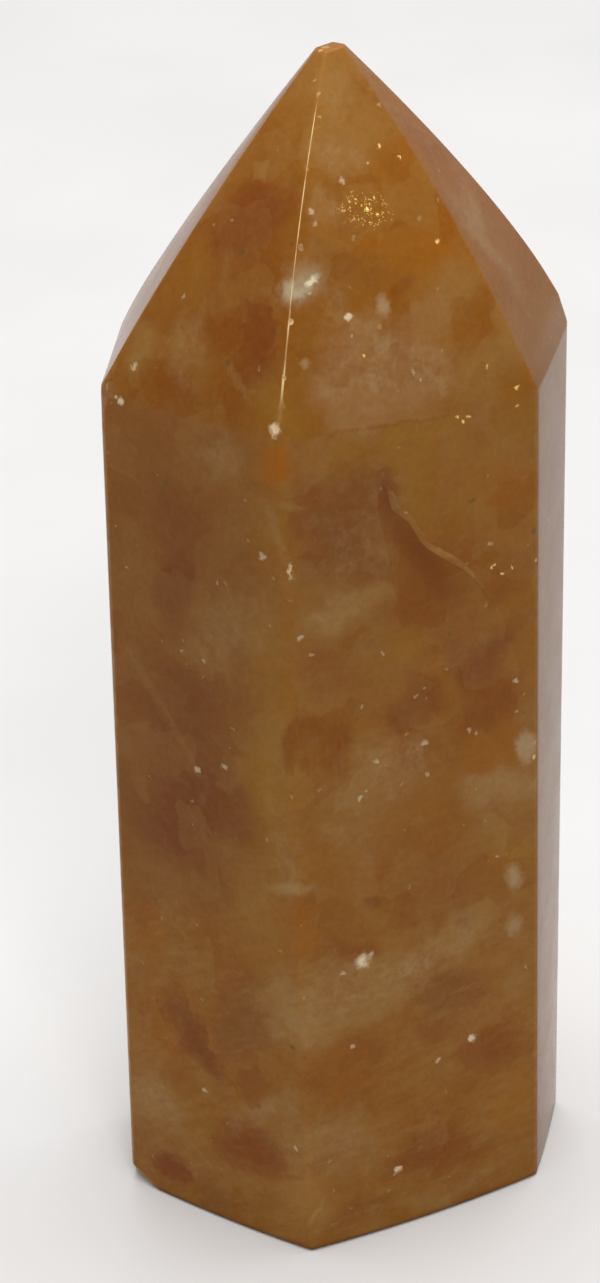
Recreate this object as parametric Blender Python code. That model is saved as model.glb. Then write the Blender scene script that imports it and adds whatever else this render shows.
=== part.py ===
# Polished calcite tower: a hand-ground six-sided prism under a six-faceted, blunt point.
# Built in metres with +Z up. The origin is on the flat base, and the front ridge faces -Y.

import math

import bmesh
import bpy
from mathutils import Vector

MM = 0.001  # one millimetre

# Driving dimensions, in millimetres unless a note says otherwise
HEIGHT = 90.0
TIP_CENTRE = (0.2, -0.3)
TIP_RADIUS = 0.95
TIP_DROP = 0.25          # how far the tip's left side lies below its right side

# The six ridges, anticlockwise from the left one as seen from above. foot is the corner of the
# base, shoulder is where the prism meets the point, bow is how far the ridge of the point stands
# out from a straight line, and peak is where it does so, from 0 at the shoulder to 1 at the tip.
RIDGES = {
    "left": {"foot": (-17.0, -4.2), "shoulder": (-15.9, -4.0, 67.5), "bow": 0.45, "peak": 0.47},
    "front": {"foot": (-3.2, -13.5), "shoulder": (-3.9, -13.0, 67.6), "bow": 1.30, "peak": 0.55},
    "right": {"foot": (14.4, -5.2), "shoulder": (13.7, -5.0, 66.9), "bow": 0.75, "peak": 0.49},
    "right_back": {"foot": (16.7, 4.2), "shoulder": (16.5, 4.0, 67.9), "bow": 1.20, "peak": 0.36},
    "back": {"foot": (3.2, 13.5), "shoulder": (3.1, 13.0, 67.5), "bow": 0.90, "peak": 0.42},
    "left_back": {"foot": (-15.2, 5.6), "shoulder": (-14.7, 5.4, 68.1), "bow": 0.50, "peak": 0.38},
}

# How far the ground faces stand out in their middle. These hold for a side of WIDE_SIDE, and a
# narrower side is flatter, by the square of its width.
WIDE_SIDE = 19.5
BASE_CROWN = 0.45
SHOULDER_CROWN = 0.10
POINT_CROWN = 0.35
SHOULDER_SAG = 0.35      # how far the middle of a shoulder line hangs

# Widths of the polished-over edges
PRISM_EDGE = 0.60
POINT_EDGE = 0.16
SHOULDER_EDGE = 0.28
BASE_EDGE = 0.45
TIP_EDGE = 0.30
EDGE_STEPS = 3           # faces across a rounded edge

# Knocks in the corners: the corner that each one takes off, how deep, and the way its face looks
KNOCKS = {
    "left foot, low": {"corner": (-17.0, -4.2, 0.0), "depth": 0.80, "facing": (-0.60, -0.34, -0.72)},
    "left foot, high": {"corner": (-17.0, -4.2, 0.0), "depth": 0.62, "facing": (-0.84, -0.42, -0.34)},
    "left shoulder": {"corner": (-15.9, -4.0, 67.5), "depth": 0.32, "facing": (-0.86, -0.48, 0.16)},
    "front shoulder": {"corner": (-3.9, -13.0, 67.6), "depth": 0.26, "facing": (-0.12, -0.98, 0.14)},
    "tip": {"corner": (-0.6, -0.8, 89.9), "depth": 0.16, "facing": (-0.45, -0.40, 0.80)},
}

ACROSS = 6               # faces across each side
POINT_LEVELS = 12        # rows of faces up the point
SHARP_ANGLE = 28.0       # degrees; a steeper fold than this is drawn as an edge

STONE_COLOUR = (0.262, 0.105, 0.028, 1.0)
STONE_ROUGHNESS = 0.14
STONE_METALLIC = 0.0


def clear_scene():
    for item in list(bpy.data.objects):
        bpy.data.objects.remove(item, do_unlink=True)


def arch(along):
    """0 at both ends and 1 in the middle."""
    return 4.0 * along * (1.0 - along)


def foot_point(ridge):
    return Vector((*ridge["foot"], 0.0))


def tip_point(ridge):
    """Where a ridge meets the rim of the blunt tip."""
    outward = Vector(ridge["shoulder"][:2]).normalized()
    x = TIP_CENTRE[0] + TIP_RADIUS * outward.x
    y = TIP_CENTRE[1] + TIP_RADIUS * outward.y
    lean = 0.5 * TIP_DROP * (1.0 - outward.x)
    return Vector((x, y, HEIGHT - lean))


def ridge_point(ridge, climb):
    """A place on a ridge of the point: climb is 0 at the shoulder and 1 at the tip."""
    start = Vector(ridge["shoulder"])
    end = tip_point(ridge)
    run = (end - start).normalized()
    outward = Vector((start.x, start.y, 0.0)).normalized()
    square = (outward - outward.dot(run) * run).normalized()
    skew = math.log(0.5) / math.log(ridge["peak"])
    return start.lerp(end, climb) + ridge["bow"] * arch(climb ** skew) * square


def side_outward(start, end):
    """The level direction that a side between two corners faces."""
    return Vector((end.y - start.y, start.x - end.x, 0.0)).normalized()


def following(items):
    """The same items, each moved one place on around the ring."""
    return items[1:] + items[:1]


def side_shares():
    """How strongly each side is crowned, from its width at the base."""
    feet = [foot_point(ridge) for ridge in RIDGES.values()]
    return [((there - here).length / WIDE_SIDE) ** 2 for here, there in zip(feet, following(feet))]


def ring_points(corners, crown, sag):
    """One closed ring: each side bulges by its share of crown and sag in its middle."""
    points = []
    for here, there, share in zip(corners, following(corners), side_shares()):
        outward = side_outward(here, there)
        for step in range(ACROSS):
            along = step / ACROSS
            swell = share * arch(along) * (crown * outward - Vector((0.0, 0.0, sag)))
            points.append(here.lerp(there, along) + swell)
    return points


def tower_rings():
    """The rings from the base to the rim of the tip."""
    ridges = list(RIDGES.values())
    rings = [ring_points([foot_point(ridge) for ridge in ridges], BASE_CROWN, 0.0)]
    for level in range(POINT_LEVELS + 1):
        climb = level / POINT_LEVELS
        corners = [ridge_point(ridge, climb) for ridge in ridges]
        crown = POINT_CROWN * arch(climb) + SHOULDER_CROWN * (1.0 - climb)
        rings.append(ring_points(corners, crown, SHOULDER_SAG * (1.0 - climb) ** 2))
    return rings


def edge_width(level, around):
    """The rounded width of the edge that climbs from a level, at a place around the ring."""
    if around % ACROSS:
        return 0.0
    return PRISM_EDGE if level == 0 else POINT_EDGE


def rim_width(level, last):
    """The rounded width of the edges that run around the stone at a level."""
    return {0: BASE_EDGE, 1: SHOULDER_EDGE, last: TIP_EDGE}.get(level, 0.0)


def tower_mesh():
    """The stone with sharp edges, each edge carrying the width it is rounded to."""
    bm = bmesh.new()
    weight = bm.edges.layers.float.new("bevel_weight_edge")
    rings = [[bm.verts.new(point * MM) for point in ring] for ring in tower_rings()]
    count = len(rings[0])
    last = len(rings) - 1
    for level in range(last):
        lower, upper = rings[level], rings[level + 1]
        for around in range(count):
            beside = (around + 1) % count
            bm.faces.new((lower[around], lower[beside], upper[beside], upper[around]))
    bm.faces.new(list(reversed(rings[0])))
    bm.faces.new(rings[last])
    for level, ring in enumerate(rings):
        for around in range(count):
            rim = bm.edges.get((ring[around], ring[(around + 1) % count]))
            rim[weight] = rim_width(level, last) / PRISM_EDGE
            if level < last:
                climbing = bm.edges.get((ring[around], rings[level + 1][around]))
                climbing[weight] = edge_width(level, around) / PRISM_EDGE
    bmesh.ops.recalc_face_normals(bm, faces=bm.faces)
    mesh = bpy.data.meshes.new("calcite_tower")
    bm.to_mesh(mesh)
    bm.free()
    return mesh


def round_edges(stone):
    """Polish the edges over, each to its own width, and keep the result as the mesh."""
    bevel = stone.modifiers.new("polished edges", "BEVEL")
    bevel.limit_method = "WEIGHT"
    bevel.offset_type = "OFFSET"
    bevel.width = PRISM_EDGE * MM
    bevel.segments = EDGE_STEPS
    bpy.context.view_layer.update()
    rounded = stone.evaluated_get(bpy.context.evaluated_depsgraph_get())
    mesh = bpy.data.meshes.new_from_object(rounded)
    mesh.name = "calcite_tower"
    stone.modifiers.clear()
    stone.data = mesh


def knock_edges(stone):
    """Cut the small knocks, each with one plane that reaches only its own corner."""
    bm = bmesh.new()
    bm.from_mesh(stone.data)
    for knock in KNOCKS.values():
        everything = bm.verts[:] + bm.edges[:] + bm.faces[:]
        facing = Vector(knock["facing"]).normalized()
        place = (Vector(knock["corner"]) - knock["depth"] * facing) * MM
        cut = bmesh.ops.bisect_plane(
            bm, geom=everything, dist=1e-7, plane_co=place, plane_no=facing, clear_outer=True)
        rim = [item for item in cut["geom_cut"] if isinstance(item, bmesh.types.BMEdge)]
        bmesh.ops.contextual_create(bm, geom=rim)
    bmesh.ops.remove_doubles(bm, verts=bm.verts, dist=1e-6)
    bmesh.ops.recalc_face_normals(bm, faces=bm.faces)
    bm.to_mesh(stone.data)
    bm.free()


def stone_material():
    material = bpy.data.materials.new("polished_calcite")
    material.use_nodes = True
    shader = material.node_tree.nodes["Principled BSDF"]
    shader.inputs["Base Color"].default_value = STONE_COLOUR
    shader.inputs["Roughness"].default_value = STONE_ROUGHNESS
    shader.inputs["Metallic"].default_value = STONE_METALLIC
    return material


def build_tower():
    stone = bpy.data.objects.new("calcite_tower", tower_mesh())
    bpy.context.collection.objects.link(stone)
    round_edges(stone)
    knock_edges(stone)
    stone.data.materials.clear()
    stone.data.materials.append(stone_material())
    stone.data.shade_smooth()
    stone.data.set_sharp_from_angle(angle=math.radians(SHARP_ANGLE))


clear_scene()
build_tower()
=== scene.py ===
import math

import bmesh
import bpy
import numpy as np
from mathutils import Matrix, Vector, noise


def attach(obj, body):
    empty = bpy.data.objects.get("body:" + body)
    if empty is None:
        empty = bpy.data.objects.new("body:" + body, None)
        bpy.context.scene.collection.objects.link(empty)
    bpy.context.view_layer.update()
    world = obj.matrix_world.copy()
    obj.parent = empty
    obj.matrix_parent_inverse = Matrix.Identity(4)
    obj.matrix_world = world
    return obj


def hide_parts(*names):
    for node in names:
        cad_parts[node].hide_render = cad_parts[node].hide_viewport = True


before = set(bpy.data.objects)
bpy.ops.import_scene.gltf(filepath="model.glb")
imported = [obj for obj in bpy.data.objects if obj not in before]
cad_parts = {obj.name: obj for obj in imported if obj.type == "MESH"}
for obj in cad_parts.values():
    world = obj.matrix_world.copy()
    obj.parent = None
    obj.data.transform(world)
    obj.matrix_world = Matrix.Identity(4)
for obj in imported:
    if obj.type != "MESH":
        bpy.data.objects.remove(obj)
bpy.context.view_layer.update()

mm = 0.001  # one millimetre in scene units

# the frame of the photograph and where its camera stood
photo = {
    "width": 600,
    "height": 1283,
    "focalPixels": 3259,
    "distance": 235 * mm,
    "lookDown": 29.44,      # degrees below level
    "roll": -1.57,          # degrees
    "aim": Vector((-2.81, 0, 45.16)) * mm,
    "sensor": 36,
}

# what the stone's mesh is made with
tower = {
    "node": "calcite_tower",
    "mergeWithin": 0.002 * mm,
    "foldAngle": 7,         # degrees; triangles flatter than this become one quad again
    "cutsFrom": 1.6 * mm,   # first level cut across the prism
    "cutsTo": 65.5 * mm,
    "cutEvery": 2.6 * mm,
    "splitOver": 1.7 * mm,  # level edges longer than this are split in two
    "smoothLevels": 2,
    "edgeFold": 5,          # degrees; a steeper fold belongs to a polished-over edge
    "coreFold": 11,         # degrees; a face with two steeper folds is the middle of such an edge
    "edgeWidth": 0.42 * mm,
    "sharpFold": 24,        # degrees; a steeper fold stays crisp
    "ridgesFrom": 68.6 * mm,
    "rightSide": (0.955, -0.297, 0),    # the way that the narrow right side faces
}


def report(words):
    print("calcite tower:", words)


def cameraTurn():
    tilt = Matrix.Rotation(math.radians(90 - photo["lookDown"]), 3, "X")
    return tilt @ Matrix.Rotation(math.radians(photo["roll"]), 3, "Z")


def cameraPlace():
    return photo["aim"] + cameraTurn() @ Vector((0, 0, photo["distance"]))


def placeCamera():
    bpy.ops.object.camera_add(location=cameraPlace(), rotation=cameraTurn().to_euler())
    eye = bpy.context.object
    eye.name = "photoCamera"
    eye.data.sensor_width = photo["sensor"]
    eye.data.lens = photo["focalPixels"] * photo["sensor"] / photo["height"]
    eye.data.clip_start = 10 * mm
    eye.data.clip_end = 20
    bpy.context.scene.camera = eye


# soft studio light: a large panel above, a key behind the camera, pale walls all round
studio = {
    "wall": (0.80, 0.79, 0.80),
    "wallStrength": 0.50,
    "panels": {
        "overhead": {"at": (0.05, 0.10, 0.95), "size": 0.80, "watts": 6.0, "tint": (1.0, 0.99, 0.97)},
        "key": {"at": (0.10, -0.62, 0.60), "size": 0.30, "watts": 1.6, "tint": (1.0, 0.98, 0.95)},
    },
    "floorSide": 3.0,
}


def addPanel(name, panel):
    bpy.ops.object.light_add(type="AREA", location=panel["at"])
    lamp = bpy.context.object
    lamp.name = name
    lamp.data.shape = "SQUARE"
    lamp.data.size = panel["size"]
    lamp.data.energy = panel["watts"]
    lamp.data.color = panel["tint"]
    towards = photo["aim"] - Vector(panel["at"])
    lamp.rotation_euler = towards.to_track_quat("-Z", "Y").to_euler()


def lightStudio():
    world = bpy.data.worlds.new("paleWalls")
    world.use_nodes = True
    wall = world.node_tree.nodes["Background"]
    wall.inputs["Color"].default_value = (*studio["wall"], 1)
    wall.inputs["Strength"].default_value = studio["wallStrength"]
    bpy.context.scene.world = world
    for name, panel in studio["panels"].items():
        addPanel(name, panel)
    bpy.context.scene.view_settings.view_transform = "Standard"


def layFloor():
    bpy.ops.mesh.primitive_plane_add(size=studio["floorSide"], location=(0, 0, -0.05 * mm))
    floor = bpy.context.object
    floor.name = "paleFloor"
    bpy.ops.object.transform_apply(location=True)
    floor.data.materials.append(floorMaterial())


class Wire:  # one output of a material's node; sums and products of wires add Math nodes
    def __init__(self, tree, socket):
        self.tree = tree
        self.socket = socket

    def node(self, kind, settings=None, inputs=None, out=0):
        made = self.tree.nodes.new("ShaderNode" + kind)
        for name, value in (settings or {}).items():
            setattr(made, name, value)
        for name, value in (inputs or {}).items():
            if isinstance(value, Wire):
                self.tree.links.new(value.socket, made.inputs[name])
            else:
                made.inputs[name].default_value = value
        return Wire(self.tree, made.outputs[out])

    def maths(self, operation, first, second=0.0):
        return self.node("Math", {"operation": operation}, {0: first, 1: second})

    def __add__(self, other):
        return self.maths("ADD", self, other)

    __radd__ = __add__

    def __sub__(self, other):
        return self.maths("SUBTRACT", self, other)

    def __rsub__(self, other):
        return self.maths("SUBTRACT", other, self)

    def __mul__(self, other):
        return self.maths("MULTIPLY", self, other)

    __rmul__ = __mul__

    def __pow__(self, other):
        return self.maths("POWER", self, other)

    def top(self, other):
        return self.maths("MAXIMUM", self, other)

    def least(self, other):
        return self.maths("MINIMUM", self, other)

    def size(self):
        return self.maths("ABSOLUTE", self)

    def step(self, low, high, start=0.0, end=1.0):  # eases from start, at low, to end, at high
        return self.node(
            "MapRange", {"interpolation_type": "SMOOTHSTEP"},
            {"Value": self, "From Min": low, "From Max": high, "To Min": start, "To Max": end})

    def vector(self, operation, other=None, third=None, scale=None, out=0):
        inputs = {0: self}
        if other is not None:
            inputs[1] = other
        if third is not None:
            inputs[2] = third
        if scale is not None:
            inputs["Scale"] = scale
        return self.node("VectorMath", {"operation": operation}, inputs, out)

    def parts(self, out):
        return self.node("SeparateXYZ", {}, {0: self}, out)

    def inFrame(self, middle, turn, sizes):  # this place as seen from a turned, stretched frame
        return self.node(
            "Mapping", {"vector_type": "TEXTURE"},
            {"Vector": self, "Location": middle, "Rotation": turn, "Scale": sizes})

    def noise(self, size, detail=2.0, rough=0.5, out="Fac"):  # size is the width of a blotch
        return self.node(
            "TexNoise", {}, {"Vector": self, "Scale": 1 / size, "Detail": detail, "Roughness": rough}, out)

    def grains(self, size, soft):  # grains about this wide, each with colours of its own
        return self.node(
            "TexVoronoi", {"feature": "SMOOTH_F1", "distance": "CHEBYCHEV"},
            {"Vector": self, "Scale": 1 / size, "Smoothness": soft, "Randomness": 0.95}, "Color")

    def dots(self, size, radius, share):  # round dots in a share of the cells of this size
        near = self.node("TexVoronoi", {"feature": "F1"}, {"Vector": self, "Scale": 1 / size}, "Distance")
        chosen = Wire(self.tree, near.socket.node.outputs["Color"]).parts(0)
        kept = chosen.step(0.98 - share, 1.02 - share)
        return near.step(1.4 * radius / size, 0.6 * radius / size) * kept

    def between(self, below, above):  # this share of the colour above over the one below
        return self.node("Mix", {"data_type": "RGBA"}, {0: self, 6: below, 7: above}, 2)


def screenColour(red, green, blue):  # a colour on the screen, 0 to 255, as linear light
    levels = [level / 255 for level in (red, green, blue)]
    light = [level / 12.92 if level <= 0.04045 else ((level + 0.055) / 1.055) ** 2.4 for level in levels]
    return (*light, 1)


def newMaterial(name):
    material = bpy.data.materials.new(name)
    material.use_nodes = True
    tree = material.node_tree
    shader = tree.nodes["Principled BSDF"]
    coordinates = tree.nodes.new("ShaderNodeTexCoord")
    place = Wire(tree, coordinates.outputs["Object"]).vector("SCALE", scale=1 / mm)
    return material, shader, place


def feed(shader, socket, wire):
    wire.tree.links.new(wire.socket, shader.inputs[socket])


def floorMaterial():
    material, shader, place = newMaterial("palePaper")
    grain = place.noise(40, 3).step(0.3, 0.7)
    feed(shader, "Base Color", grain.between(screenColour(240, 240, 240), screenColour(244, 244, 244)))
    shader.inputs["Roughness"].default_value = 0.9
    shader.inputs["Specular IOR Level"].default_value = 0.2
    return material


# how the polished stone takes the light
polish = {
    "ior": 1.56,
    "gloss": 0.08,
    "subsurface": 0.8,
    "radius": (1.0, 0.6, 0.35),
    "depth": 1.2 * mm,
    "lightShare": (0.73, 0.69, 0.73),   # of the studio's light that a side facet sends back
    "haze": 0.0162,         # what the polish adds on top
}

# the stone's colours, as they look on the screen on a side facet
tints = {
    "honey": (124, 82, 42),
    "amber": (132, 82, 24),
    "orange": (128, 81, 36),
    "rust": (114, 68, 33),
    "brick": (106, 58, 24),
    "mauve": (106, 68, 43),
    "plum": (104, 61, 38),
    "olive": (129, 91, 44),
    "tan": (132, 98, 60),
    "pink": (134, 96, 64),
    "frost": (148, 122, 96),
    "pale": (144, 116, 82),
    "cream": (196, 174, 138),
    "white": (216, 202, 178),
    "grey": (84, 72, 50),
    # gold is the colour of the painted glints
    "gold": (250, 206, 130),
    "scarBrown": (115, 70, 32),
    "lilac": (120, 88, 72),
    "veil": (158, 146, 126),
    "lip": (142, 104, 62),
}

# Soft clouds of colour in the stone, laid over each other in this order. Each has its tint, its
# middle in the photograph's pixels, its half width and half height in them, its turn in degrees
# anticlockwise, the softness of its edge and its strength.
clouds = {
    "zones": {
        "leftFaceTop": ("honey", (180, 440), (85, 45), -8, 0.8, 0.50),
        "leftFaceHeart": ("mauve", (170, 640), (80, 190), 0, 0.8, 0.45),
        "leftFaceMiddle": ("mauve", (188, 800), (60, 130), 0, 0.7, 0.50),
        "leftFaceFoot": ("honey", (190, 1040), (70, 110), 0, 0.9, 0.50),
        "band": ("olive", (272, 790), (32, 170), -2, 0.7, 0.60),
        "rightMauve": ("mauve", (345, 560), (60, 90), 0, 0.8, 0.35),
        "underShoulders": ("olive", (430, 450), (150, 24), 12, 0.9, 0.50),
        "rightOfScar": ("orange", (485, 515), (50, 70), 20, 0.7, 0.50),
        "pointLeft": ("rust", (230, 290), (75, 120), -20, 0.8, 0.45),
        "pointRight": ("orange", (400, 245), (75, 110), 15, 0.8, 0.50),
        "tip": ("tan", (335, 80), (36, 62), 0, 0.8, 0.60),
        "rightBack": ("pink", (482, 225), (18, 120), 36, 0.8, 0.75),
        "lowerHaze": ("tan", (385, 975), (130, 60), 25, 0.8, 0.30),
        "footHaze": ("tan", (430, 1175), (110, 20), 16, 0.9, 0.15),
    },
    "leftOfPoint": {
        "ridgeOlive": ("olive", (306, 150), (10, 70), -6, 0.8, 0.40),
        "rustUnderTip": ("brick", (252, 222), (46, 32), 8, 0.5, 0.75),
        "rustByRidge": ("rust", (264, 266), (32, 26), -10, 0.6, 0.60),
        "leftOlive": ("olive", (200, 256), (12, 44), -38, 0.8, 0.25),
        "brownStripe": ("rust", (218, 292), (9, 40), -10, 0.5, 0.60),
        "brickFoot": ("rust", (260, 384), (12, 18), -6, 0.5, 0.45),
        "paleColumn": ("tan", (190, 352), (20, 48), -12, 0.6, 0.65),
        "oliveEdge": ("tan", (138, 352), (18, 28), -25, 0.6, 0.70),
        "amberFoot": ("olive", (278, 404), (22, 24), -5, 0.7, 0.60),
        "rustCorner": ("rust", (172, 397), (24, 12), -8, 0.6, 0.70),
        "pinkSide": ("pink", (206, 212), (14, 8), 50, 0.8, 0.25),
    },
    "rightOfPoint": {
        "rustByTip": ("rust", (358, 84), (6, 22), 38, 0.7, 0.50),
        "olivePatch": ("tan", (354, 120), (20, 22), 0, 0.7, 0.50),
        "upperMist": ("tan", (322, 152), (26, 15), 0, 0.7, 0.50),
        "upperOrange": ("orange", (400, 168), (30, 26), 30, 0.7, 0.60),
        "middleMist": ("tan", (327, 205), (16, 22), 0, 0.7, 0.50),
        "underSparks": ("amber", (368, 236), (22, 10), 0, 0.7, 0.60),
        "amberHeart": ("amber", (424, 255), (38, 30), 22, 0.6, 0.80),
        "mauveHollow": ("mauve", (350, 280), (26, 26), 0, 0.7, 0.35),
        "ember": ("rust", (394, 288), (8, 9), 0, 0.6, 0.55),
        "goldenShelf": ("tan", (446, 286), (38, 20), 25, 0.7, 0.60),
        "pinkShelf": ("pink", (428, 316), (28, 14), 10, 0.5, 0.60),
        "rustShelf": ("orange", (481, 325), (30, 15), 12, 0.35, 0.75),
        "orangeSlope": ("tan", (484, 362), (46, 34), 15, 0.7, 0.65),
        "oliveRight": ("honey", (312, 372), (20, 28), 0, 0.7, 0.70),
        "plateau": ("pink", (384, 376), (64, 46), 8, 0.4, 0.80),
    },
    "rightBack": {
        "mauveRib": ("mauve", (420, 150), (7, 60), 40, 0.6, 0.45),
        "paleRib": ("frost", (482, 238), (10, 44), 33, 0.8, 0.65),
        "mauveFoot": ("tan", (508, 322), (12, 40), 26, 0.6, 0.45),
        "oliveRim": ("olive", (545, 305), (12, 40), 22, 0.6, 0.60),
    },
    "rightFace": {
        "amberTop": ("amber", (505, 478), (30, 22), 5, 0.5, 0.70),
        "aboveScar": ("olive", (430, 505), (50, 34), -20, 0.6, 0.60),
        "mauveByScar": ("orange", (462, 488), (22, 30), -8, 0.6, 0.60),
        "scarField": ("scarBrown", (428, 588), (52, 52), 0, 0.8, 0.85),
        # painted shadow: a dark plum spot at the head of the scar, under its lip
        "scarHead": ("plum", (380, 494), (9, 15), 0, 0.6, 0.85),
        "amberMiddle": ("rust", (508, 573), (28, 18), 0, 0.6, 0.50),
        "mauveMist": ("mauve", (345, 520), (42, 48), 0, 0.7, 0.55),
        "rustByCleft": ("rust", (312, 515), (14, 28), 0, 0.7, 0.60),
        "amberUnderMist": ("olive", (296, 598), (20, 24), 0, 0.7, 0.60),
        "risingWisp": ("tan", (338, 610), (36, 16), 20, 0.7, 0.85),
        "rustMiddle": ("rust", (335, 662), (26, 30), 0, 0.5, 0.75),
        "goldPatch": ("olive", (403, 656), (34, 20), 8, 0.7, 0.50),
        "mauveRight": ("brick", (478, 656), (34, 28), 25, 0.5, 0.90),
        "brickRight": ("rust", (490, 700), (32, 22), 15, 0.5, 0.75),
        "plumMid": ("rust", (408, 714), (32, 22), 25, 0.5, 0.85),
        "pinkMist": ("pink", (385, 775), (34, 34), 0, 0.7, 0.40),
        "paleUnderEdge": ("pale", (499, 784), (38, 18), 22, 0.8, 0.40),
        "orangeLowRight": ("tan", (505, 822), (30, 24), 12, 0.6, 0.50),
        "oliveBand": ("olive", (282, 800), (32, 76), 0, 0.7, 0.65),
        "blueGrey": ("tan", (356, 820), (28, 62), 4, 0.8, 0.35),
        "brownRight": ("rust", (428, 885), (38, 36), 20, 0.6, 0.60),
        "oliveCorner": ("olive", (515, 858), (20, 22), 0, 0.5, 0.60),
    },
    "rightFaceLow": {
        "plumDrop": ("plum", (376, 896), (9, 12), 0, 0.5, 0.70),
        "rustTail": ("rust", (344, 954), (32, 13), 12, 0.5, 0.75),
        "plumSeed": ("plum", (464, 920), (13, 10), 40, 0.5, 0.60),
        "upperVeil": ("tan", (440, 936), (54, 18), 27, 0.8, 0.35),
        "mainVeil": ("tan", (356, 990), (94, 26), 22, 0.8, 0.60),
        "veilKnot": ("pale", (290, 1006), (24, 22), 0, 0.8, 0.30),
        "plumLow": ("mauve", (452, 986), (24, 26), 0, 0.6, 0.60),
        "rustByEdge": ("tan", (513, 985), (18, 28), 0, 0.5, 0.50),
        "brownPatch": ("rust", (438, 1024), (22, 16), 10, 0.4, 0.75),
        "rustPocket": ("rust", (485, 1048), (30, 30), 20, 0.35, 0.75),
        "amberLow": ("rust", (342, 1070), (32, 35), 10, 0.4, 0.60),
        "oliveLow": ("olive", (403, 1088), (32, 24), 0, 0.6, 0.60),
        "orangeFoot": ("olive", (510, 1095), (24, 34), 10, 0.5, 0.70),
        "plumFoot": ("plum", (408, 1152), (28, 17), 14, 0.6, 0.60),
        "brickFoot": ("rust", (452, 1143), (40, 17), 14, 0.6, 0.85),
        "paleFoot": ("tan", (332, 1150), (40, 34), 0, 0.7, 0.60),
        "brickFootLeft": ("brick", (256, 1150), (36, 27), -12, 0.5, 0.70),
        "goldFoot": ("lip", (300, 1200), (28, 36), -10, 0.7, 0.55),
        "mauveRim": ("rust", (362, 1214), (34, 16), 18, 0.6, 0.85),
        "tanRim": ("tan", (455, 1183), (60, 12), 18, 0.7, 0.60),
    },
    "leftFace": {
        "greyTop": ("tan", (216, 455), (18, 22), 0, 0.6, 0.60),
        "plumHigh": ("plum", (178, 520), (28, 34), -3, 0.6, 0.50),
        "plumStrong": ("plum", (175, 588), (18, 36), -4, 0.6, 1.00),
        "leftTan": ("honey", (140, 600), (18, 46), 0, 0.6, 0.70),
        "paleMiddle": ("tan", (226, 638), (28, 44), -5, 0.7, 0.60),
        "darkUpper": ("plum", (182, 716), (44, 40), -20, 0.6, 0.65),
        "darkLower": ("plum", (190, 812), (48, 50), 0, 0.6, 1.00),
        "leftMist": ("tan", (165, 890), (14, 40), 40, 0.7, 0.35),
        "orangeSide": ("orange", (150, 925), (18, 28), 0, 0.6, 0.60),
        "mauveLow": ("mauve", (236, 1022), (28, 40), 0, 0.6, 0.60),
        "orangeLow": ("orange", (158, 1020), (18, 40), 15, 0.6, 0.60),
        "oliveLow": ("tan", (155, 1100), (18, 30), 5, 0.6, 0.75),
        "oliveMiddle": ("olive", (196, 1120), (20, 26), 30, 0.7, 0.50),
        "risingVeil": ("tan", (275, 1110), (36, 14), 27, 0.7, 0.50),
        "rustFoot": ("brick", (172, 1166), (18, 16), -30, 0.5, 0.60),
        "mauveRim": ("plum", (212, 1192), (22, 10), -28, 0.6, 0.50),
    },
}

# Frosty mist in the stone, given in the same way but without a tint
mists = {
    "byTheTip": ((322, 96), (9, 34), 0, 0.8, 0.45),
    "upper": ((322, 152), (28, 16), 0, 0.7, 0.65),
    "middle": ((335, 208), (18, 20), 0, 0.7, 0.50),
    "plateau": ((388, 374), (62, 44), 8, 0.5, 0.70),
    "veil": ((303, 286), (24, 16), 35, 0.8, 0.55),
    "besideVeil": ((345, 320), (16, 30), 0, 0.8, 0.40),
    "leftColumn": ((188, 354), (15, 44), -10, 0.7, 0.30),
    "leftTop": ((215, 455), (20, 24), 0, 0.8, 0.25),
    "leftMiddle": ((228, 632), (28, 50), -5, 0.9, 0.28),
    "byTheScar": ((345, 540), (38, 60), 0, 0.8, 0.25),
    "wisp": ((335, 608), (34, 13), 20, 0.8, 0.50),
    "pinkMist": ((392, 772), (40, 34), 0, 0.7, 0.45),
    "greyTall": ((356, 822), (28, 62), 4, 0.8, 0.35),
    "bandKnot": ((292, 1014), (26, 30), 0, 0.8, 0.38),
    "mainVeil": ((354, 990), (90, 24), 22, 0.8, 0.55),
    "upperVeil": ((436, 944), (50, 16), 27, 0.8, 0.72),
    "underEdge": ((499, 784), (38, 18), 22, 0.8, 0.25),
    "footPale": ((335, 1142), (38, 30), 0, 0.8, 0.40),
    "risingVeil": ((280, 1110), (42, 12), 27, 0.7, 0.35),
    "rightBack": ((486, 244), (11, 52), 34, 0.8, 0.55),
    "rightBackTop": ((408, 130), (10, 60), 40, 0.7, 0.40),
    "leftLow": ((158, 1108), (20, 30), 0, 0.7, 0.40),
    "leftPlum": ((188, 800), (40, 60), 0, 0.8, 0.05),
    "footRim": ((470, 1180), (54, 10), 18, 0.7, 0.15),
    "bandLow": ((286, 850), (16, 60), 0, 0.8, 0.35),
}

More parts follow.
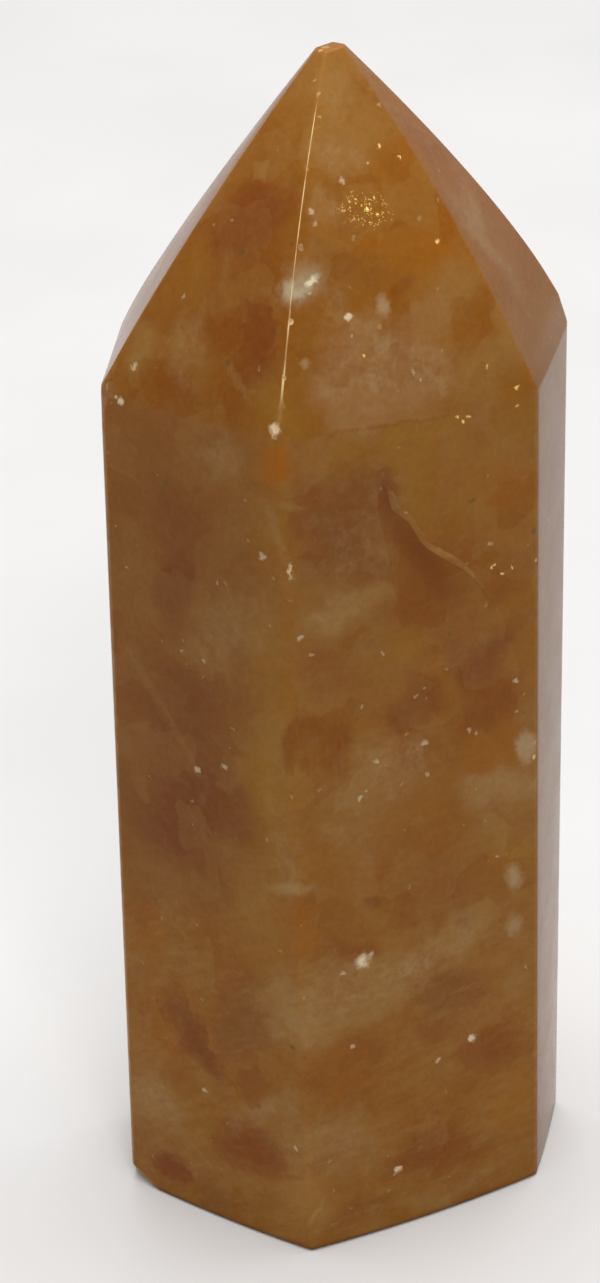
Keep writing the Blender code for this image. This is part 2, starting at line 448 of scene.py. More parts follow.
# Patches with crisper edges, given like the clouds. Under 0.3 soft, a patch has corners.
patches = {
    "bent": {
        # painted shade: mauve laid over the whole left face of the prism, which is turned from the light
        "leftFace": ("mauve", (146, 660), (112, 250), -1.8, 0.10, 0.30),
        "brickLeft": ("rust", (224, 329), (12, 22), -3, 0.25, 0.60),
        "brickRight": ("brick", (256, 342), (18, 44), -5, 0.25, 0.60),
        "lightWedge": ("rust", (234, 390), (14, 30), 10, 0.2, 0.50),
        "shelfTop": ("olive", (392, 437), (62, 9), 10, 0.25, 0.45),
        "cleftWedge": ("olive", (280, 528), (11, 28), 18, 0.25, 0.35),
        "plumBlock": ("plum", (412, 710), (28, 15), 40, 0.35, 0.28),
        "brickShelf": ("rust", (487, 703), (28, 18), 10, 0.2, 0.40),
        "orangeBlock": ("orange", (490, 748), (27, 20), 8, 0.2, 0.70),
        "orangeLow": ("orange", (297, 928), (23, 24), 4, 0.2, 0.70),
        "pocketEdge": ("rust", (486, 1056), (30, 18), 12, 0.25, 0.50),
        "amberLow": ("orange", (342, 1072), (28, 30), 20, 0.25, 0.50),
        "amberFoot": ("amber", (510, 1098), (20, 30), 20, 0.25, 0.35),
        "plumStreak": ("plum", (193, 1036), (15, 50), 29, 0.4, 0.75),
        "rustChip": ("rust", (255, 1085), (14, 16), 30, 0.25, 0.65),
        "brickToe": ("brick", (168, 1166), (16, 12), -30, 0.2, 0.45),
        "rustFoot": ("rust", (250, 1150), (42, 20), -22, 0.25, 0.45),
    },
    "combed": {
        "combedRust": ("rust", (303, 741), (20, 26), 0, 0.25, 0.75),
        "combedMauve": ("rust", (336, 745), (20, 26), 0, 0.35, 1.00),
    },
    "small": {
        "amberBlock": ("amber", (275, 466), (16, 20), 0, 0.4, 0.92),
        # painted shadow: a dark plum spot at the head of the scar, under its lip
        "scarNook": ("plum", (384, 500), (5.5, 15), 12, 0.6, 0.60),
        "triangle": ("tan", (261, 170), (7, 9), 0, 0.2, 0.45),
        "archedWisp": ("tan", (226, 268), (3.5, 22), -8, 0.9, 0.30),
        "wedgeEdge": ("tan", (238, 381), (4, 25), 26, 0.7, 0.45),
        "shelfLip": ("pink", (386, 407), (58, 17), 10, 0.2, 0.50),
        "shelfLine": ("rust", (381, 426), (58, 1.8), 9, 0.7, 0.38),
        "oliveSpot": ("pale", (305, 364), (5, 5), 0, 0.6, 0.70),
        "palePatch": ("frost", (383, 306), (6, 10), 0, 0.6, 0.75),
        "veilCore": ("veil", (302, 285), (19, 12), 35, 0.9, 0.50),
        "veilStreak": ("veil", (313, 280), (9, 3.4), 40, 0.8, 0.80),
        "veilSecond": ("veil", (289, 288), (6, 8), 10, 0.8, 0.60),
        "veilThird": ("veil", (299, 294), (9, 4), 30, 0.8, 0.60),
        "veilBright": ("white", (311, 282), (5, 1.6), 40, 0.8, 0.50),
        "chipHaze": ("pale", (278, 420), (4, 11), -8, 0.9, 0.30),
        "shoulderChip": ("white", (275, 430), (4.5, 6), 0, 0.6, 0.55),
        "paleByEdge": ("frost", (526, 747), (10, 17), 5, 0.4, 0.80),
        "paleBar": ("pale", (291, 889), (20, 6), 0, 0.8, 0.60),
        "pinkPearl": ("frost", (514, 926), (8, 11), 0, 0.7, 0.50),
        "paleBlob": ("frost", (514, 877), (8, 12), 10, 0.7, 0.75),
        "leftThread": ("tan", (163, 709), (3.2, 68), 32, 0.9, 0.28),
        "lowThread": ("tan", (197, 1150), (1.6, 60), 40, 0.6, 0.35),
        "slantedWisp": ("pale", (315, 1214), (2.4, 18), -30, 0.8, 0.35),
        "cleftFleck": ("cream", (291, 571), (2, 5.5), 0, 0.6, 0.75),
        "cleftTop": ("tan", (292, 507), (12, 4), -8, 0.8, 0.60),
        "cleftSide": ("tan", (277, 536), (4, 29), 22, 0.8, 0.55),
        "brightFleck": ("white", (362, 961), (6, 5), 20, 0.9, 0.62),
    },
}

# Small flecks: their radius in the photograph's pixels, and the pixel that each one shows at
flecks = {
    "large": {
        "radius": 4.2, "belowVeil": (348, 317), "pocket": (472, 1039), "footFleck": (398, 1169),
        "byLeftCorner": (121, 401),
    },
    "middling": {
        "radius": 2.8, "aboveGold": (341, 182), "onTheLeft": (134, 366), "underPlum": (424, 743),
        "middleWide": (376, 762), "middlePair": (361, 798), "rightUpper": (469, 730),
        "byRightEdge": (516, 681), "leftLow": (198, 769), "leftLowSecond": (224, 767),
        "brightSecond": (343, 973), "amberHigh": (353, 1046), "brightThird": (371, 954),
        "underStreak": (205, 1090), "leftOfRust": (300, 638), "byWisp": (261, 556),
        "pocketLow": (438, 1060), "byRidge": (311, 212), "shoulderLow": (295, 1148),
    },
    "tiny": {
        "radius": 2.0, "underTip": (316, 80), "underTipLow": (320, 94), "onRightRidge": (379, 106),
        "inUpperMist": (319, 119), "pinkByRidge": (316, 224), "underVeil": (308, 295),
        "belowVeilSmall": (352, 335), "scarHead": (406, 512), "onTheRight": (427, 775),
        "farPair": (491, 543), "inRust": (311, 657), "inGold": (382, 654), "inPlum": (417, 695),
        "inPlumUpper": (424, 689), "middlePairUpper": (366, 790), "rightUpperSecond": (476, 733),
        "rightLower": (476, 789), "byRightEdgeLow": (517, 712), "lowRight": (497, 856),
        "farRight": (526, 967), "bandLower": (292, 798), "leftHigh": (127, 568),
        "leftMiddle": (203, 661), "leftSmall": (217, 582), "bandPale": (268, 841),
        "plumTop": (362, 706), "leftEdge": (182, 651), "goldSpeck": (438, 242),
        "plateauFirst": (412, 372), "plateauSecond": (420, 382), "leftSpeck": (183, 298),
    },
    # painted glints: gold sparks where light catches cleavage planes inside the stone
    "gold": {
        "radius": 1.9, "highFirst": (379, 146), "highSecond": (400, 158), "highThird": (368, 163),
        "byAmber": (438, 242), "shelfFirst": (457, 418), "shelfSecond": (463, 422),
        "shelfThird": (468, 416), "slopeFirst": (488, 367), "slopeSecond": (517, 387),
        "slopeThird": (518, 406), "plateau": (364, 356), "middleFirst": (493, 565),
        "middleSecond": (503, 573), "middleThird": (512, 567),
    },
    "grey": {
        "radius": 2.6, "byFrontRidge": (292, 243), "underBricks": (228, 362), "leftTop": (166, 483),
        "rightTop": (471, 501), "rightMiddle": (450, 633), "byEdge": (533, 532),
        "inRustLeft": (242, 251), "veilLow": (292, 1048), "veilLower": (306, 1058),
    },
}


def onlySelect(item):
    bpy.ops.object.select_all(action="DESELECT")
    item.select_set(True)
    bpy.context.view_layer.objects.active = item


def copyNode(node, name):
    onlySelect(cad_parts[node])
    bpy.ops.object.duplicate()
    copy = bpy.context.object
    copy.name = name
    copy.parent = None
    for key in list(copy.keys()):
        del copy[key]
    copy.data.name = name
    copy.data.materials.clear()
    return copy


def photoRay(pixel):  # the way from the camera through a pixel of the photograph
    across = (pixel[0] - photo["width"] / 2) / photo["focalPixels"]
    down = (pixel[1] - photo["height"] / 2) / photo["focalPixels"]
    return (cameraTurn() @ Vector((across, -down, -1))).normalized()


def onStone(stone, pixel):  # the place on the stone that a pixel shows, and a pixel's width there
    hit, place, normal, face = stone.ray_cast(cameraPlace(), photoRay(pixel))
    if not hit:
        raise ValueError(f"pixel {pixel} shows no stone")
    depth = (place - cameraPlace()) @ (cameraTurn() @ Vector((0, 0, -1)))
    return place, depth / photo["focalPixels"]


def leanOf(turn):  # the camera's axes, turned in its picture by about this many degrees
    steps = round(turn / 10) * 10
    return cameraTurn() @ Matrix.Rotation(math.radians(steps), 3, "Z")


class Leaning:  # places in the stone along the picture's turned axes, each made once
    def __init__(self, ways):
        self.ways = ways
        self.made = {}

    def along(self, way, turn):
        key = (way, round(turn / 10))
        if key not in self.made:
            self.made[key] = self.ways[way].inFrame((0, 0, 0), leanOf(turn).to_euler(), (1, 1, 1))
        return self.made[key]


def patchMask(leaning, way, stone, pixel, halves, turn, soft, strength):
    middle, pixelWidth = onStone(stone, pixel)
    middle = leanOf(turn).transposed() @ middle / mm
    wide, high = (half * pixelWidth / mm for half in halves)
    deep = max(3.0, 2.2 * max(wide, high))
    shrink = (1 / wide, 1 / high, 1 / deep)
    shift = [-part * scale for part, scale in zip(middle, shrink)]
    inside = leaning.along(way, turn).vector("MULTIPLY_ADD", shrink, shift)
    if soft < 0.3:
        squared = inside.vector("MULTIPLY", inside)
        away = squared.vector("MULTIPLY", squared).vector("LENGTH", out="Value") ** 0.25
    else:
        away = inside.vector("LENGTH", out="Value")
    return away.step(1 + soft, max(0.0, 1 - soft), 0.0, strength)


def asAlbedo(tint):
    seen = screenColour(*tints[tint])[:3]
    shares = polish["lightShare"]
    return (*(max(0.004, (light - polish["haze"]) / share) for light, share in zip(seen, shares)), 1)


# the marks that are scattered over the sides turned away from the camera, in millimetres
scatter = {
    "seed": 31,
    "clouds": 190,
    "mists": 70,
    "wide": (1.1, 4.2),
    "slender": (0.45, 1.3),
    "tints": ("rust", "olive", "tan", "orange", "mauve", "brick", "plum", "pink", "amber", "tan"),
    "warp": ((1.5, 5.5), (0.8, 2.1), (0.3, 0.9)),   # how far and how wide the marks' edges sway
    "fadeFrom": 0.6,        # their strength where a face is seen edge-on
    "fadeBy": 4,            # how fast they fade out as a face turns to the camera
}


def meshPoints(stone, kind):  # the places or the normals of the mesh's points
    values = np.empty(len(stone.data.vertices) * 3, dtype=np.float32)
    stone.data.vertices.foreach_get(kind, values)
    return values.reshape(-1, 3)


def swayed(places):
    shift = [sum((far * noise.noise_vector(place / wide) for far, wide in scatter["warp"]), Vector())
             for place in map(Vector, places)]
    return places + np.array(shift)


def shareOf(places, middle, axes, halves, soft, strength):
    sizes = np.array((*halves, max(3.0, 2.2 * max(halves))))
    inside = (places - np.array(middle)) @ np.array(axes) / sizes
    near = np.clip((1 + soft - np.linalg.norm(inside, axis=1)) / (2 * soft), 0, 1)
    return strength * near * near * (3 - 2 * near)


def namedShare(stone, places, pixel, halves, turn, soft, strength):
    middle, pixelWidth = onStone(stone, pixel)
    axes = cameraTurn() @ Matrix.Rotation(math.radians(turn), 3, "Z")
    halves = [half * pixelWidth / mm for half in halves]
    return shareOf(places, middle / mm, axes, halves, soft, strength)


def scatteredShares(stone, places, chance, count):
    normals = meshPoints(stone, "normal")
    spots = meshPoints(stone, "co")
    towards = np.array(cameraPlace()) - spots
    towards /= np.linalg.norm(towards, axis=1, keepdims=True)
    facing = (normals * towards).sum(axis=1)
    hidden = np.flatnonzero(facing < 0)
    away = np.clip(scatter["fadeFrom"] - scatter["fadeBy"] * facing, 0, 1)
    for index in chance.choice(hidden, count):
        spin = Matrix.Rotation(chance.uniform(0, math.tau), 3, "Z")
        axes = Vector(normals[index]).to_track_quat("Z", "Y").to_matrix() @ spin
        wide = chance.uniform(*scatter["wide"])
        halves = (wide, wide * chance.uniform(*scatter["slender"]))
        soft, strength = chance.uniform(0.3, 0.8), chance.uniform(0.4, 0.8)
        yield away * shareOf(places, spots[index] / mm, axes, halves, soft, strength)


def paintStone(stone):  # lays the clouds' colours and the share of mist on the mesh's points
    chance = np.random.default_rng(scatter["seed"])
    places = swayed(meshPoints(stone, "co") / mm)
    colours = np.tile(asAlbedo("honey"), (len(places), 1))
    for share in scatteredShares(stone, places, chance, scatter["clouds"]):
        tint = asAlbedo(chance.choice(scatter["tints"]))
        colours += share[:, None] * (np.array(tint) - colours)
    for group in clouds.values():
        for tint, *mark in group.values():
            share = namedShare(stone, places, *mark)
            colours += share[:, None] * (np.array(asAlbedo(tint)) - colours)
    mist = np.zeros(len(places))
    for share in scatteredShares(stone, places, chance, scatter["mists"]):
        mist = np.maximum(mist, share)
    for mark in mists.values():
        mist = np.maximum(mist, namedShare(stone, places, *mark))
    paint = stone.data.attributes.new("cloudColour", "FLOAT_COLOR", "POINT")
    paint.data.foreach_set("color", colours.astype(np.float32).ravel())
    frosted = stone.data.attributes.new("mistShare", "FLOAT", "POINT")
    frosted.data.foreach_set("value", mist.astype(np.float32))


def fleckMask(place, stone, group):
    nearest = None
    for name, pixel in group.items():
        if name == "radius":
            continue
        middle, pixelWidth = onStone(stone, pixel)
        away = place.vector("DISTANCE", [part / mm for part in middle], out="Value")
        nearest = away if nearest is None else nearest.least(away)
    radius = group["radius"] * pixelWidth / mm
    return nearest.step(1.5 * radius, 0.5 * radius)


# how the stone's own grains are laid out, in millimetres
grain = {
    "window": 3.4,
    "facet": 1.5,
    "stepped": 0.40,        # how far a patch's edge follows the facets, from 0 to 1
    "mottle": 3.0,
    "fade": 2.6,
    "frost": 0.75,
    "sugar": 0.42,
    "dust": (1.5, 0.13, 0.35),      # size of a cell, radius of a dot, share of cells with one
    # the painted glints: cell size, dot radius and share of cells for the gold sparks
    "sparks": (0.36, 0.10, 0.50),
    "glitter": (0.19, 0.055, 0.55),
}
# painted glints: the patch where gold sparks of light off inner cleavage are painted
sparkle = ((366, 210), (20, 14), 0, 0.7, 1.0)      # the golden sparks under the right facet
# the cream line on the point's front ridge: partly a whitish worn arris, partly a painted highlight
ridgeWearAndHighlight = ((291, 253), (26, 142), -10, 0.12, 0.85)
scarRim = ((397, 508), (16, 28), 0, 0.5, 0.9)       # the pink end of the scar's lip
scarBrown = ((408, 550), (46, 70), 0, 0.7, 0.40)
scarShade = ((418, 552), (12, 58), 45, 0.8, 0.70)   # the darker floor under the lip


def calciteMaterial(stone):
    material, shader, place = newMaterial("polishedCalcite")
    swirl = place.noise(4.5, 2, 0.5, "Color").vector("SUBTRACT", (0.5, 0.5, 0.5)).vector("SCALE", scale=2.4)
    ripple = place.noise(1.0, 2, 0.5, "Color").vector("SUBTRACT", (0.5, 0.5, 0.5)).vector("SCALE", scale=0.6)
    ruffled = place.vector("ADD", ripple)
    bent = ruffled.vector("ADD", swirl)
    comb = place.vector("MULTIPLY", (2.8, 2.8, 0.15)).noise(1, 2)
    upright = place.vector("MULTIPLY", (0, 0, 0)).vector("ADD", (0, 0, 0.35))
    combed = bent.vector("ADD", upright.vector("SCALE", scale=comb.step(0.3, 0.7, -1.0, 1.0)))
    torn = place.noise(0.32, 1, 0.5, "Color").vector("SUBTRACT", (0.5, 0.5, 0.5)).vector("SCALE", scale=0.45)
    frayed = ruffled.vector("ADD", torn)
    steps = bent.node(
        "TexVoronoi", {"feature": "F1", "distance": "CHEBYCHEV"},
        {"Vector": bent, "Scale": 1 / grain["facet"], "Randomness": 0.9}, "Position")
    stepped = bent.node("Mix", {"data_type": "VECTOR"}, {0: grain["stepped"], 4: bent, 5: steps}, 1)
    leaning = Leaning({"bent": stepped, "combed": combed, "small": frayed})

    cell = bent.grains(grain["window"], 0.15)
    mottle = bent.noise(grain["mottle"], 4, 0.6)
    base = place.node("Attribute", {"attribute_name": "cloudColour"})
    base = cell.parts(0).step(0.60, 0.72, 0, 0.25).between(base, asAlbedo("rust"))
    base = cell.parts(1).step(0.60, 0.72, 0, 0.22).between(base, asAlbedo("tan"))
    base = mottle.step(0.52, 0.74, 0, 0.28).between(base, asAlbedo("tan"))
    base = mottle.step(0.48, 0.28, 0, 0.28).between(base, asAlbedo("rust"))
    streak = leaning.along("small", 20).vector("MULTIPLY", (0.35, 1.7, 0.5)).noise(1, 3)
    low = place.parts(2).step(34, 22, 0.25, 1.0)
    base = (streak.step(0.50, 0.72) * low * 0.35).between(base, asAlbedo("tan"))
    base = (streak.step(0.46, 0.28) * low * 0.35).between(base, asAlbedo("rust"))
    crisp = base
    for way in ("bent", "combed"):
        for tint, *mark in patches[way].values():
            mask = patchMask(leaning, way, stone, *mark)
            if way == "combed":
                mask = mask * comb.step(0.3, 0.6, 0.6, 1.0)
            crisp = mask.between(crisp, asAlbedo(tint))
    colour = bent.noise(grain["fade"], 2).step(0.34, 0.54, 0.45, 1.0).between(base, crisp)

    frost = ruffled.noise(grain["frost"], 4, 0.65).step(0.40, 0.66, 0.25, 1.0)
    misty = place.node("Attribute", {"attribute_name": "mistShare"}, out=2)
    drift = bent.noise(2.0, 3, 0.6).step(0.35, 0.60, 0.35, 1.0)
    colour = ((misty * drift * 0.62 + 0.04) * frost).between(colour, asAlbedo("frost"))
    for tint, *mark in patches["small"].values():
        colour = patchMask(leaning, "small", stone, *mark).between(colour, asAlbedo(tint))
    for size, share in (("large", 0.55), ("middling", 0.32), ("tiny", 0.22)):
        colour = (fleckMask(frayed, stone, flecks[size]) * share).between(colour, asAlbedo("white"))
    colour = (fleckMask(frayed, stone, flecks["grey"]) * 0.6).between(colour, asAlbedo("grey"))
    colour = (frayed.dots(*grain["dust"]) * 0.16).between(colour, asAlbedo("cream"))
    # painted glints: gold sparks of light off cleavage planes inside the stone, in a patch and at listed pixels
    glitter = frayed.vector("ADD", (2, 9, 4))
    sparks = glitter.dots(*grain["sparks"]).top(glitter.dots(*grain["glitter"]) * 0.8)
    sparks = sparks * patchMask(leaning, "small", stone, *sparkle) * glitter.noise(0.9, 1).step(0.36, 0.50)
    sparks = sparks.top(fleckMask(frayed, stone, flecks["gold"]) * 0.55)
    colour = sparks.between(colour, asAlbedo("gold"))
    edge = place.node("Attribute", {"attribute_name": "edgeFace"}, out=2)
    # noise that breaks up the worn chips, and also the painted edge reflection and ridge highlight
    wearAndSheen = ruffled.noise(1.6, 2).step(0.35, 0.62, 0.35, 1.0)
    outer = place.parts(0).size().step(14.2, 15.4)
    # painted reflection: a pale frosty rim on the polished-over outer edges of the prism
    colour = (edge * outer * wearAndSheen * 0.45).between(colour, asAlbedo("frost"))
    # the front ridge's cream line: whitish wear along the arris and a painted highlight of the light from above
    ridge = patchMask(leaning, "small", stone, *ridgeWearAndHighlight) * edge.step(0.7, 0.9) * wearAndSheen
    colour = ridge.between(colour, asAlbedo("cream"))
    floor = place.node("Attribute", {"attribute_name": "scarFloor"}, out=2)
    colour = (floor * patchMask(leaning, "small", stone, *scarBrown)).between(colour, asAlbedo("scarBrown"))
    colour = (floor * patchMask(leaning, "small", stone, *scarShade)).between(colour, asAlbedo("plum"))
    chipped = place.node("Attribute", {"attribute_name": "chipFace"}, out=2)
    rim = patchMask(leaning, "small", stone, *scarRim).between(asAlbedo("lip"), asAlbedo("pink"))
    broken = chipped.step(0.5, 0.9).between(rim, asAlbedo("cream"))
    colour = (chipped.step(0.0, 0.5, 0, 0.72) * wearAndSheen).between(colour, broken)
    # painted reflection: faces above the prism that turn to the narrow sides take a lilac tint, for the pale
    # surroundings seen at a grazing angle
    side = place.node("Attribute", {"attribute_name": "narrowSide"}, out=2)
    upper = place.parts(2).step(66.5, 68.5)
    colour = (side * upper * 0.52).between(colour, asAlbedo("lilac"))
    sugar = place.noise(grain["sugar"], 2, 0.5).step(0.2, 0.8, 0.94, 1.06)
    height = place.parts(2)
    # painted shadow: the colour darkens to half in the lowest 0.6 mm, a contact shadow along the base's bottom
    # edges
    paintedFootShadow = height.step(0.1, 0.6, 0.5, 1.0)
    # painted shade: the narrow sides below the point are darkened by up to a quarter
    paintedSideShade = 1 - 0.24 * side * (1 - upper)
    # painted light: the colour brightens up to 1.35 times from 58 to 92 mm up, for the light that the upturned,
    # thin point catches
    colour = colour.vector("SCALE", scale=sugar * height.step(58, 92, 1.0, 1.35) * paintedSideShade * paintedFootShadow)
    feed(shader, "Base Color", colour)
    feed(shader, "Roughness", mottle.step(0.3, 0.7, 0.13, 0.22) + 0.35 * chipped)
    shader.inputs["IOR"].default_value = polish["ior"]
    shader.inputs["Specular IOR Level"].default_value = polish["gloss"]
    shader.inputs["Subsurface Weight"].default_value = polish["subsurface"]
    shader.inputs["Subsurface Radius"].default_value = polish["radius"]
    shader.inputs["Subsurface Scale"].default_value = polish["depth"]
    report(f"{len(material.node_tree.nodes)} nodes in the stone's material")
    return material


def markEdges(stone):  # numbers each face: 1 in the middle of a polished-over edge, 0.6 beside it, or 0
    bm = bmesh.new()
    bm.from_mesh(stone.data)
    layer = bm.faces.layers.float.new("edgeFace")
    for face in bm.faces:
        folds = sorted((edge.calc_face_angle(0.0) for edge in face.edges), reverse=True)
        narrow = face.calc_area() / max(edge.calc_length() for edge in face.edges)
        if narrow < tower["edgeWidth"] and folds[1] > math.radians(tower["edgeFold"]):
            face[layer] = 1.0 if folds[1] > math.radians(tower["coreFold"]) else 0.6
    bm.to_mesh(stone.data)
    bm.free()


def markSides(stone):  # numbers each face: 1 on the two narrow sides and above them, 0 elsewhere
    looks = stone.data.attributes.new("narrowSide", "FLOAT", "FACE")
    level = Vector(tower["rightSide"]).xy
    values = []
    for face in stone.data.polygons:
        flat = face.normal.xy
        values.append(1.0 if flat.length > 0.6 and abs(flat.normalized().dot(level)) > 0.93 else 0.0)
    looks.data.foreach_set("value", values)


def holdRidges(stone):  # creases the ridges of the point, so that smoothing leaves them narrow
    bm = bmesh.new()
    bm.from_mesh(stone.data)
    crease = bm.edges.layers.float.new("crease_edge")
    fold = math.radians(tower["edgeFold"])
    for edge in bm.edges:
        low = min(point.co.z for point in edge.verts)
        if low > tower["ridgesFrom"] and edge.calc_face_angle(0.0) > fold:
            edge[crease] = 1.0
    bm.to_mesh(stone.data)
    bm.free()


def shapeTower():
    stone = copyNode(tower["node"], "calciteTower")
    onlySelect(stone)
    bpy.ops.object.mode_set(mode="EDIT")
    bpy.ops.mesh.select_all(action="SELECT")
    bpy.ops.mesh.remove_doubles(threshold=tower["mergeWithin"])
    bpy.ops.mesh.customdata_custom_splitnormals_clear()
    fold = math.radians(tower["foldAngle"])
    bpy.ops.mesh.tris_convert_to_quads(face_threshold=fold, shape_threshold=math.radians(80))
    level = tower["cutsFrom"]
    while level < tower["cutsTo"]:
        bpy.ops.mesh.select_all(action="SELECT")
        bpy.ops.mesh.bisect(plane_co=(0, 0, level), plane_no=(0, 0, 1), threshold=1e-6)
        level += tower["cutEvery"]
    bpy.ops.mesh.select_all(action="DESELECT")
    bpy.ops.object.mode_set(mode="OBJECT")
    for edge in stone.data.edges:
        start, end = (stone.data.vertices[index].co for index in edge.vertices)
        run = end - start
        edge.select = run.length > tower["splitOver"] and abs(run.z) < 0.3 * run.length
    bpy.ops.object.mode_set(mode="EDIT")
    bpy.ops.mesh.subdivide(number_cuts=1)
    bpy.ops.object.mode_set(mode="OBJECT")
    markEdges(stone)
    holdRidges(stone)
    report(f"{len(stone.data.polygons)} faces before smoothing")
    smooth = stone.modifiers.new("smooth", "SUBSURF")
    smooth.levels = smooth.render_levels = tower["smoothLevels"]
    bpy.ops.object.modifier_apply(modifier=smooth.name)
    report(f"{len(stone.data.polygons)} faces after smoothing")
    return stone


# The shallow scar on the right face, as pixels of the photograph: the crisp lip at its upper right,
# where its floor comes back up to the face, and how deep it is under the lip, in millimetres.
scar = {
    "lip": ((388, 486), (393, 491), (396, 499), (399, 507), (406, 513), (414, 520), (420, 529), (424, 538),
            (431, 544), (440, 548), (449, 553), (459, 559), (467, 566), (475, 577), (485, 590), (493, 602)),
    "rise": ((373, 485), (373, 497), (374, 509), (376, 522), (379, 536), (381, 550), (383, 565), (385, 582),
             (387, 598), (393, 612), (406, 622), (423, 628), (440, 627), (457, 621), (475, 613), (490, 610)),
    "depths": (0.04, 0.12, 0.18, 0.20, 0.20, 0.22, 0.22, 0.23, 0.22, 0.22, 0.20, 0.18, 0.15, 0.12, 0.07, 0.03),
    "slopes": (0.10, 0.36, 0.46, 0.48, 0.42, 0.36, 0.36, 0.34, 0.42, 0.52, 0.56, 0.50, 0.36, 0.18, 0.09, 0.03),
    "above": 0.30,
    "over": 0.05,
    "tones": (0.26, 0.34, 0.36, 0.36, 0.32, 0.28, 0.28, 0.34, 0.42, 0.48, 0.48, 0.44, 0.34, 0.18, 0.08),
}

# small nicks: the pixel each one shows at, how wide and how deep it is in millimetres
nicks = {
    "seed": 5,
    "bites": {
        "ridgeUpper": ((301, 247), 0.30, 0.05), "ridgeMiddle": ((291, 322), 0.28, 0.05),
        "ridgeLower": ((284, 378), 0.26, 0.04),
        "frontShoulder": ((276, 429), 0.36, 0.09), "frontShoulderLow": ((274, 437), 0.27, 0.06),
        "leftShoulder": ((107, 386), 0.28, 0.08), "leftShoulderLow": ((116, 397), 0.18, 0.05),
        "tipTop": ((326, 47), 0.30, 0.10), "tipSide": ((321, 50), 0.24, 0.06),
        "rightEdge": ((535, 742), 0.26, 0.07), "rightEdgeLow": ((534, 757), 0.22, 0.05),
        "rightEdgeHigh": ((536, 560), 0.20, 0.04),
        "pitFirst": ((549, 520), 0.14, 0.05), "pitSecond": ((552, 560), 0.12, 0.05),
        "pitThird": ((548, 640), 0.13, 0.05), "pitFourth": ((551, 770), 0.12, 0.05),
        "pitFifth": ((547, 905), 0.14, 0.05),
    },
    "behind": 16,           # more of them, on edges turned away from the camera
    "behindFrom": -0.35,    # how far such an edge looks away, from 0 at the outline to -1
    "behindWide": (0.20, 0.45),
    "behindDeep": (0.04, 0.10),
}


def addCutter(name, places, faces, tone, floors):
    mesh = bpy.data.meshes.new(name)
    mesh.from_pydata(places, [], faces)
    toneLayer = mesh.attributes.new("chipFace", "FLOAT", "FACE")
    toneLayer.data.foreach_set("value", tone)
    floorLayer = mesh.attributes.new("scarFloor", "FLOAT", "FACE")
    floorLayer.data.foreach_set("value", floors)
    cutter = bpy.data.objects.new(name, mesh)
    bpy.context.collection.objects.link(cutter)
    return cutter


def scarCutter(stone):
    count = len(scar["lip"])
    places = []
    for lip, rise, depth, slope in zip(scar["lip"], scar["rise"], scar["depths"], scar["slopes"]):
        hit, place, normal, face = stone.ray_cast(cameraPlace(), photoRay(lip))
        back = stone.ray_cast(cameraPlace(), photoRay(rise))[1]
        lean = (place - back).normalized()
        climb = scar["above"] / depth
        places.append(place + (scar["above"] * normal + climb * slope * lean) * mm)
        places.append(place - (depth * normal + slope * lean) * mm)
        places.append(back + scar["over"] * mm * normal)
    faces = [(0, 1, 2), (3 * count - 1, 3 * count - 2, 3 * count - 3)]
    tone, floors = [0.0, 0.0], [0.0, 0.0]
    for row in range(count - 1):
        for side, (first, second) in enumerate(((0, 1), (1, 2), (2, 0))):
            here, there = 3 * row, 3 * row + 3
            faces.append((here + first, there + first, there + second, here + second))
            tone.append(scar["tones"][row] if side == 0 else 0.0)
            floors.append(1.0 if side == 1 else 0.0)
    return addCutter("scarCutter", places, faces, tone, floors)


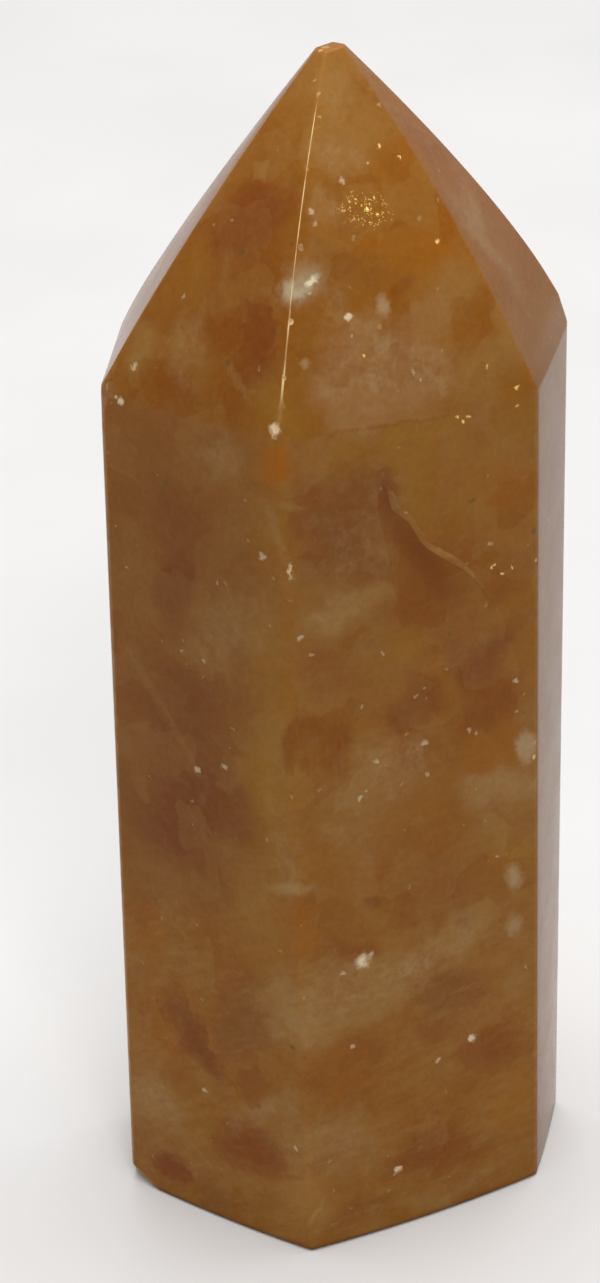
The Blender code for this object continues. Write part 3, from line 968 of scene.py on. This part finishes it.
def nickCutter(name, place, normal, wide, deep, chance):
    bpy.ops.mesh.primitive_ico_sphere_add(subdivisions=2, radius=1, calc_uvs=False)
    ball = bpy.context.object
    rise = wide * wide / (2 * deep)     # a ball of this radius bites this wide and this deep
    flat = min(rise, 1.2 * wide)
    turn = normal.to_track_quat("Z", "Y").to_matrix() @ Matrix.Rotation(chance.uniform(0, 6), 3, "Z")
    stretch = chance.uniform(0.75, 1.3)
    for point in ball.data.vertices:
        shape = Vector((point.co.x * wide * 1.15 * stretch, point.co.y * wide * 1.15 / stretch, point.co.z * flat))
        shape *= chance.uniform(0.86, 1.10)
        point.co = place + turn @ (shape + Vector((0, 0, flat * 0.75 - deep * 0.4))) * mm
    ball.name = name
    for layer, value in (("chipFace", 1.0), ("scarFloor", 0.0)):
        values = ball.data.attributes.new(layer, "FLOAT", "FACE")
        values.data.foreach_set("value", [value] * len(ball.data.polygons))
    return ball


def cutStone(stone):
    chance = np.random.default_rng(nicks["seed"])
    cutters = [scarCutter(stone)]
    for name, (pixel, wide, deep) in nicks["bites"].items():
        hit, place, normal, face = stone.ray_cast(cameraPlace(), photoRay(pixel))
        if not hit:
            raise ValueError(f"the nick {name} shows no stone")
        cutters.append(nickCutter(name, place, normal, wide, deep, chance))
    marked = stone.data.attributes["edgeFace"].data
    edges = [face for face in stone.data.polygons if marked[face.index].value > 0.5
             and face.normal.dot((cameraPlace() - face.center).normalized()) < nicks["behindFrom"]]
    for number, index in enumerate(chance.choice(len(edges), nicks["behind"], replace=False)):
        face = edges[index]
        wide, deep = chance.uniform(*nicks["behindWide"]), chance.uniform(*nicks["behindDeep"])
        cutters.append(nickCutter(f"behind{number}", face.center, face.normal, wide, deep, chance))
    bpy.ops.object.select_all(action="DESELECT")
    for cutter in cutters:
        cutter.select_set(True)
    bpy.context.view_layer.objects.active = cutters[0]
    bpy.ops.object.join()
    cutter = bpy.context.object
    bpy.ops.object.mode_set(mode="EDIT")
    bpy.ops.mesh.select_all(action="SELECT")
    bpy.ops.mesh.normals_make_consistent(inside=False)
    bpy.ops.object.mode_set(mode="OBJECT")
    onlySelect(stone)
    cut = stone.modifiers.new("cut", "BOOLEAN")
    cut.object = cutter
    cut.solver = "MANIFOLD"
    bpy.ops.object.modifier_apply(modifier=cut.name)
    bpy.data.objects.remove(cutter, do_unlink=True)
    stone.data.materials.clear()
    onlySelect(stone)
    bpy.ops.object.shade_smooth_by_angle(angle=math.radians(tower["sharpFold"]))
    report(f"{len(stone.data.polygons)} faces after the scar and nicks are cut")


placeCamera()
lightStudio()
layFloor()
report("camera, light and floor are in place")

stone = shapeTower()
markSides(stone)
cutStone(stone)
paintStone(stone)
stone.data.materials.append(calciteMaterial(stone))
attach(stone, "root")
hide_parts(tower["node"])
report("the stone is shaped")
